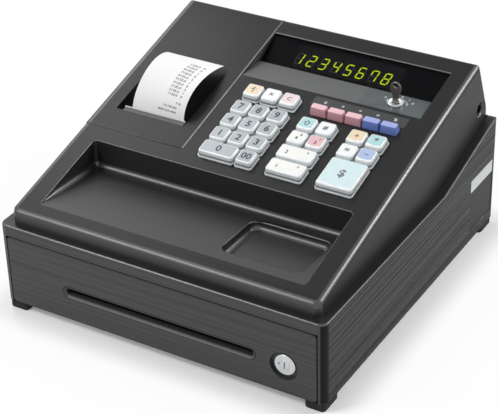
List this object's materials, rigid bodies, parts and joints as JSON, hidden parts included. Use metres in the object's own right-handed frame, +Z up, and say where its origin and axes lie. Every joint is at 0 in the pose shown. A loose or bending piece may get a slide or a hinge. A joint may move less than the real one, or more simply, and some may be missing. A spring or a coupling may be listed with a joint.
{
  "type": "cash register",
  "caption": "Electronic cash register: a case with a sliding cash drawer, a sloping cover with keys and display, and a receipt printer under a lift-off cover.",
  "frame": {"origin": "on the counter, under the middle of the case", "axes": "+Z up; +Y from the drawer side towards the back; +X to the operator's right, towards the power inlet"},
  "size_m": [0.335, 0.35, 0.1856],
  "materials": {
    "case_plastic": "fine textured charcoal",
    "drawer_plastic": "fine brushed charcoal",
    "cover_plastic": "fine textured charcoal, satin",
    "zinc_plate": "zinc plated sheet steel",
    "foot_rubber": "moulded rubber",
    "screw_steel": "zinc plated",
    "box_steel": "powder coated",
    "tray_plastic": "moulded",
    "lock_chrome": "plated",
    "latch_steel": "stamped",
    "coil_copper": "varnished coil in a steel yoke",
    "spring_steel": "wound wire",
    "roller_nylon": "nylon",
    "cutter_steel": "toothed edge on a smoked strip",
    "window_acrylic": "smoked acrylic",
    "display_parts": "board with lit digits",
    "key_blade": "plated",
    "frame_plastic": "moulded",
    "dome_rubber": "silicone rubber",
    "board_laminate": "glass-epoxy laminate",
    "cell_sleeve": "plastic sleeve",
    "printer_plastic": "moulded, with a steel motor",
    "platen_rubber": "ground rubber on a steel shaft",
    "ink_foam": "ink-soaked foam",
    "paper": "uncoated paper",
    "jack_plastic": "moulded",
    "key_grey": "clear cap over a light grey insert",
    "key_ivory": "clear cap over an ivory insert",
    "key_orange": "clear cap over a pale orange insert",
    "key_pink": "clear cap over a pink insert",
    "key_cyan": "clear cap over a pale cyan insert",
    "key_blue": "clear cap over a pale blue insert",
    "function_pink": "solid coloured cap",
    "function_blue": "solid coloured cap"
  },
  "bodies": {
    "machine": {"lower_case": "case_plastic", "base_plate": "zinc_plate", "rubber_feet": "foot_rubber", "screws": "screw_steel", "solenoid": "coil_copper", "drawer_spring": "spring_steel", "top_cover": "cover_plastic", "display_window": "window_acrylic", "display_board": "display_parts", "key_frame": "frame_plastic", "dome_sheet": "dome_rubber", "main_board": "board_laminate", "backup_batteries": "cell_sleeve", "printer_frame": "printer_plastic", "power_jack": "jack_plastic"},
    "drawer": {"drawer_box": "box_steel", "drawer_front": "drawer_plastic", "coin_tray": "tray_plastic"},
    "front_rollers": {"front_rollers": "roller_nylon"},
    "rear_rollers": {"rear_rollers": "roller_nylon"},
    "drawer_lock": {"drawer_lock": "lock_chrome"},
    "drawer_latch": {"drawer_latch": "latch_steel"},
    "printer_cover": {"printer_cover": "cover_plastic", "tear_bar": "cutter_steel", "receipt_paper": "paper"},
    "platen_roller": {"platen_roller": "platen_rubber"},
    "ink_roller": {"ink_roller": "ink_foam"},
    "paper_roll": {"paper_roll": "paper"},
    "mode_lock": {"mode_lock": "lock_chrome"},
    "mode_key": {"mode_key": "key_blade"},
    "key_0": {"key_0": "key_grey"},
    "key_00": {"key_00": "key_grey"},
    "key_1": {"key_1": "key_grey"},
    "key_2": {"key_2": "key_grey"},
    "key_3": {"key_3": "key_grey"},
    "key_4": {"key_4": "key_grey"},
    "key_5": {"key_5": "key_grey"},
    "key_6": {"key_6": "key_grey"},
    "key_7": {"key_7": "key_grey"},
    "key_8": {"key_8": "key_grey"},
    "key_9": {"key_9": "key_grey"},
    "key_paper_feed": {"key_paper_feed": "key_orange"},
    "key_multiply": {"key_multiply": "key_ivory"},
    "key_clear": {"key_clear": "key_pink"},
    "key_department_1": {"key_department_1": "key_ivory"},
    "key_department_2": {"key_department_2": "key_ivory"},
    "key_department_3": {"key_department_3": "key_pink"},
    "key_department_4": {"key_department_4": "key_ivory"},
    "key_shift": {"key_shift": "key_cyan"},
    "key_item": {"key_item": "key_ivory"},
    "key_cash": {"key_cash": "key_cyan"},
    "key_subtotal": {"key_subtotal": "key_ivory"},
    "key_charge": {"key_charge": "key_blue"},
    "key_check": {"key_check": "key_orange"},
    "key_clerk": {"key_clerk": "key_cyan"},
    "function_key_1": {"function_key_1": "function_pink"},
    "function_key_2": {"function_key_2": "function_pink"},
    "function_key_3": {"function_key_3": "function_pink"},
    "function_key_4": {"function_key_4": "function_blue"},
    "function_key_5": {"function_key_5": "function_blue"}
  },
  "joints": [
    {"name": "drawer_slide", "type": "slide", "parent": "machine", "child": "drawer", "axis": [0, -1, 0], "range_m": [0, 0.23]},
    {"name": "front_rollers_spin", "type": "hinge", "parent": "machine", "child": "front_rollers", "pos_m": [0, -0.145, 0.0193], "axis": [1, 0, 0], "continuous": true},
    {"name": "rear_rollers_spin", "type": "hinge", "parent": "drawer", "child": "rear_rollers", "pos_m": [0, 0.104, 0.0193], "axis": [1, 0, 0], "continuous": true},
    {"name": "drawer_lock_turn", "type": "hinge", "parent": "drawer", "child": "drawer_lock", "pos_m": [0.128, -0.175, 0.037], "axis": [0, 1, 0], "range_deg": [0, 90]},
    {"name": "drawer_latch_swing", "type": "hinge", "parent": "machine", "child": "drawer_latch", "pos_m": [0.022, 0.16, 0.0265], "axis": [0, 0, 1], "range_deg": [-14, 0]},
    {"name": "printer_cover_lift", "type": "slide", "parent": "machine", "child": "printer_cover", "axis": [0, -0.2514, 0.9679], "range_m": [0, 0.06]},
    {"name": "platen_spin", "type": "hinge", "parent": "machine", "child": "platen_roller", "pos_m": [0, 0.00234, 0.11816], "axis": [1, 0, 0], "continuous": true},
    {"name": "ink_roller_spin", "type": "hinge", "parent": "machine", "child": "ink_roller", "pos_m": [0, -0.02417, 0.11127], "axis": [1, 0, 0], "continuous": true},
    {"name": "paper_roll_spin", "type": "hinge", "parent": "machine", "child": "paper_roll", "pos_m": [0, 0.07835, 0.125], "axis": [1, 0, 0], "continuous": true},
    {"name": "mode_lock_turn", "type": "hinge", "parent": "machine", "child": "mode_lock", "pos_m": [0.1056, 0.0754, 0.16307], "axis": [0, 0, 1], "range_deg": [-60, 60]},
    {"name": "mode_key_pull", "type": "slide", "parent": "mode_lock", "child": "mode_key", "axis": [0, 0, 1], "range_m": [0, 0.03]},
    {"name": "key_0_press", "type": "slide", "parent": "machine", "child": "key_0", "axis": [0, 0.2514, -0.9679], "range_m": [0, 0.003], "stiffness_N_per_m": 200, "springref_m": -0.001, "deforming": ["dome_sheet"]},
    {"name": "key_00_press", "type": "slide", "parent": "machine", "child": "key_00", "axis": [0, 0.2514, -0.9679], "range_m": [0, 0.003], "stiffness_N_per_m": 200, "springref_m": -0.001, "deforming": ["dome_sheet"]},
    {"name": "key_1_press", "type": "slide", "parent": "machine", "child": "key_1", "axis": [0, 0.2514, -0.9679], "range_m": [0, 0.003], "stiffness_N_per_m": 200, "springref_m": -0.001, "deforming": ["dome_sheet"]},
    {"name": "key_2_press", "type": "slide", "parent": "machine", "child": "key_2", "axis": [0, 0.2514, -0.9679], "range_m": [0, 0.003], "stiffness_N_per_m": 200, "springref_m": -0.001, "deforming": ["dome_sheet"]},
    {"name": "key_3_press", "type": "slide", "parent": "machine", "child": "key_3", "axis": [0, 0.2514, -0.9679], "range_m": [0, 0.003], "stiffness_N_per_m": 200, "springref_m": -0.001, "deforming": ["dome_sheet"]},
    {"name": "key_4_press", "type": "slide", "parent": "machine", "child": "key_4", "axis": [0, 0.2514, -0.9679], "range_m": [0, 0.003], "stiffness_N_per_m": 200, "springref_m": -0.001, "deforming": ["dome_sheet"]},
    {"name": "key_5_press", "type": "slide", "parent": "machine", "child": "key_5", "axis": [0, 0.2514, -0.9679], "range_m": [0, 0.003], "stiffness_N_per_m": 200, "springref_m": -0.001, "deforming": ["dome_sheet"]},
    {"name": "key_6_press", "type": "slide", "parent": "machine", "child": "key_6", "axis": [0, 0.2514, -0.9679], "range_m": [0, 0.003], "stiffness_N_per_m": 200, "springref_m": -0.001, "deforming": ["dome_sheet"]},
    {"name": "key_7_press", "type": "slide", "parent": "machine", "child": "key_7", "axis": [0, 0.2514, -0.9679], "range_m": [0, 0.003], "stiffness_N_per_m": 200, "springref_m": -0.001, "deforming": ["dome_sheet"]},
    {"name": "key_8_press", "type": "slide", "parent": "machine", "child": "key_8", "axis": [0, 0.2514, -0.9679], "range_m": [0, 0.003], "stiffness_N_per_m": 200, "springref_m": -0.001, "deforming": ["dome_sheet"]},
    {"name": "key_9_press", "type": "slide", "parent": "machine", "child": "key_9", "axis": [0, 0.2514, -0.9679], "range_m": [0, 0.003], "stiffness_N_per_m": 200, "springref_m": -0.001, "deforming": ["dome_sheet"]},
    {"name": "key_paper_feed_press", "type": "slide", "parent": "machine", "child": "key_paper_feed", "axis": [0, 0.2514, -0.9679], "range_m": [0, 0.003], "stiffness_N_per_m": 200, "springref_m": -0.001, "deforming": ["dome_sheet"]},
    {"name": "key_multiply_press", "type": "slide", "parent": "machine", "child": "key_multiply", "axis": [0, 0.2514, -0.9679], "range_m": [0, 0.003], "stiffness_N_per_m": 200, "springref_m": -0.001, "deforming": ["dome_sheet"]},
    {"name": "key_clear_press", "type": "slide", "parent": "machine", "child": "key_clear", "axis": [0, 0.2514, -0.9679], "range_m": [0, 0.003], "stiffness_N_per_m": 200, "springref_m": -0.001, "deforming": ["dome_sheet"]},
    {"name": "key_department_1_press", "type": "slide", "parent": "machine", "child": "key_department_1", "axis": [0, 0.2514, -0.9679], "range_m": [0, 0.003], "stiffness_N_per_m": 200, "springref_m": -0.001, "deforming": ["dome_sheet"]},
    {"name": "key_department_2_press", "type": "slide", "parent": "machine", "child": "key_department_2", "axis": [0, 0.2514, -0.9679], "range_m": [0, 0.003], "stiffness_N_per_m": 200, "springref_m": -0.001, "deforming": ["dome_sheet"]},
    {"name": "key_department_3_press", "type": "slide", "parent": "machine", "child": "key_department_3", "axis": [0, 0.2514, -0.9679], "range_m": [0, 0.003], "stiffness_N_per_m": 200, "springref_m": -0.001, "deforming": ["dome_sheet"]},
    {"name": "key_department_4_press", "type": "slide", "parent": "machine", "child": "key_department_4", "axis": [0, 0.2514, -0.9679], "range_m": [0, 0.003], "stiffness_N_per_m": 200, "springref_m": -0.001, "deforming": ["dome_sheet"]},
    {"name": "key_shift_press", "type": "slide", "parent": "machine", "child": "key_shift", "axis": [0, 0.2514, -0.9679], "range_m": [0, 0.003], "stiffness_N_per_m": 200, "springref_m": -0.001, "deforming": ["dome_sheet"]},
    {"name": "key_item_press", "type": "slide", "parent": "machine", "child": "key_item", "axis": [0, 0.2514, -0.9679], "range_m": [0, 0.003], "stiffness_N_per_m": 200, "springref_m": -0.001, "deforming": ["dome_sheet"]},
    {"name": "key_cash_press", "type": "slide", "parent": "machine", "child": "key_cash", "axis": [0, 0.2514, -0.9679], "range_m": [0, 0.003], "stiffness_N_per_m": 200, "springref_m": -0.001, "deforming": ["dome_sheet"]},
    {"name": "key_subtotal_press", "type": "slide", "parent": "machine", "child": "key_subtotal", "axis": [0, 0.2514, -0.9679], "range_m": [0, 0.003], "stiffness_N_per_m": 200, "springref_m": -0.001, "deforming": ["dome_sheet"]},
    {"name": "key_charge_press", "type": "slide", "parent": "machine", "child": "key_charge", "axis": [0, 0.2514, -0.9679], "range_m": [0, 0.003], "stiffness_N_per_m": 200, "springref_m": -0.001, "deforming": ["dome_sheet"]},
    {"name": "key_check_press", "type": "slide", "parent": "machine", "child": "key_check", "axis": [0, 0.2514, -0.9679], "range_m": [0, 0.003], "stiffness_N_per_m": 200, "springref_m": -0.001, "deforming": ["dome_sheet"]},
    {"name": "key_clerk_press", "type": "slide", "parent": "machine", "child": "key_clerk", "axis": [0, 0.2514, -0.9679], "range_m": [0, 0.003], "stiffness_N_per_m": 200, "springref_m": -0.001, "deforming": ["dome_sheet"]},
    {"name": "function_key_1_press", "type": "slide", "parent": "machine", "child": "function_key_1", "axis": [0, 0.2514, -0.9679], "range_m": [0, 0.003], "stiffness_N_per_m": 200, "springref_m": -0.001, "deforming": ["dome_sheet"]},
    {"name": "function_key_2_press", "type": "slide", "parent": "machine", "child": "function_key_2", "axis": [0, 0.2514, -0.9679], "range_m": [0, 0.003], "stiffness_N_per_m": 200, "springref_m": -0.001, "deforming": ["dome_sheet"]},
    {"name": "function_key_3_press", "type": "slide", "parent": "machine", "child": "function_key_3", "axis": [0, 0.2514, -0.9679], "range_m": [0, 0.003], "stiffness_N_per_m": 200, "springref_m": -0.001, "deforming": ["dome_sheet"]},
    {"name": "function_key_4_press", "type": "slide", "parent": "machine", "child": "function_key_4", "axis": [0, 0.2514, -0.9679], "range_m": [0, 0.003], "stiffness_N_per_m": 200, "springref_m": -0.001, "deforming": ["dome_sheet"]},
    {"name": "function_key_5_press", "type": "slide", "parent": "machine", "child": "function_key_5", "axis": [0, 0.2514, -0.9679], "range_m": [0, 0.003], "stiffness_N_per_m": 200, "springref_m": -0.001, "deforming": ["dome_sheet"]}
  ],
  "couplings": [
    {"joint": "front_rollers_spin", "follows": "drawer_slide", "rad_per_m": 111.11},
    {"joint": "rear_rollers_spin", "follows": "drawer_slide", "rad_per_m": 111.11},
    {"joint": "platen_spin", "follows": "paper_roll_spin", "ratio": 3.75}
  ]
}
